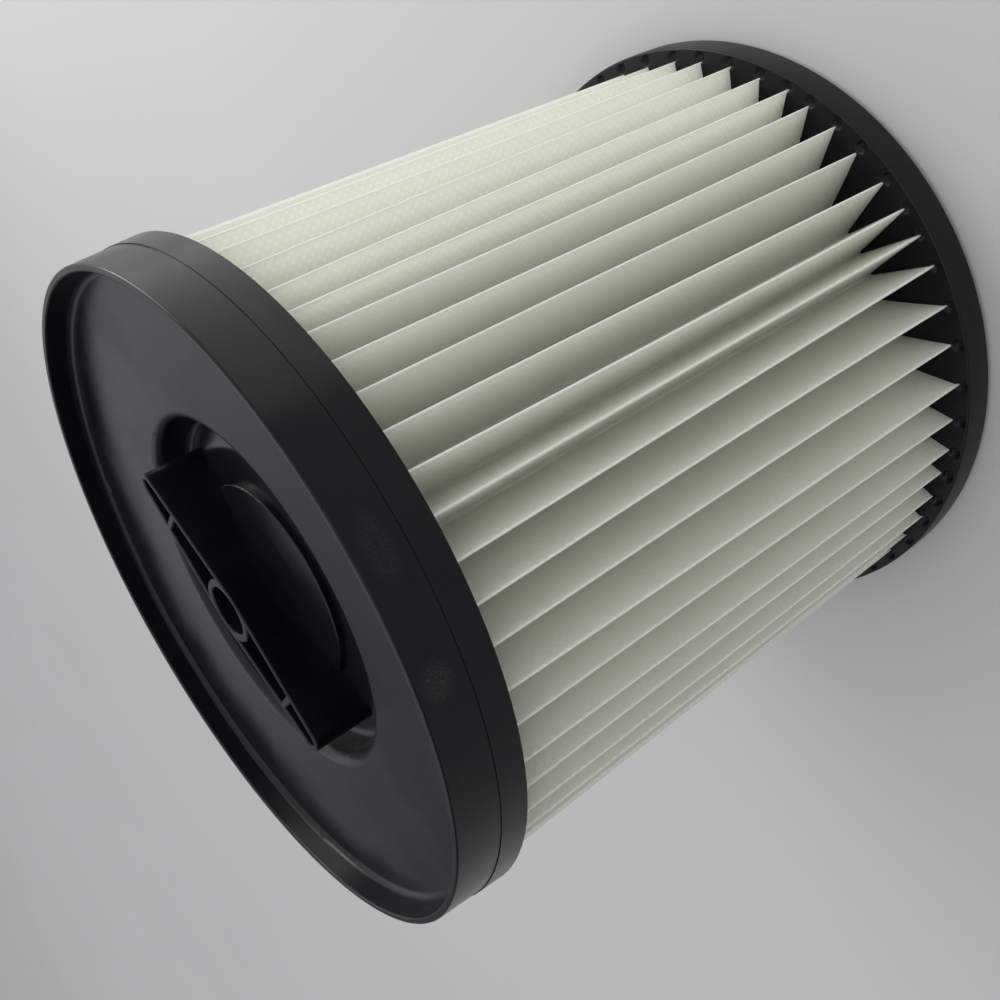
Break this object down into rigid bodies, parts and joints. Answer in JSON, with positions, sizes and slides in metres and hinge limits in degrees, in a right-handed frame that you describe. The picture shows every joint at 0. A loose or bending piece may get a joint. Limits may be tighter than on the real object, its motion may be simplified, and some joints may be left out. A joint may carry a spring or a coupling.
{
  "type": "vacuum cleaner filter",
  "caption": "Pleated cartridge filter for a wet and dry vacuum cleaner, with a closed cap and grip bar at one end and an open ring at the other.",
  "frame": {"origin": "centre of the open face that it stands on", "axes": "+Z along the filter's axis, from the open ring to the closed cap; +Y along the grip bar"},
  "size_m": [0.1624, 0.1624, 0.172],
  "materials": {
    "cap_plastic": "satin black moulding",
    "filter_media": "point-bonded nonwoven",
    "cage_plastic": "natural white moulding",
    "ring_plastic": "satin black moulding",
    "gasket_rubber": "soft matte rubber"
  },
  "bodies": {
    "root": {"closed_end_cap": "cap_plastic", "pleated_media": "filter_media", "support_cage": "cage_plastic", "open_end_ring": "ring_plastic", "face_gasket": "gasket_rubber"}
  },
  "joints": []
}
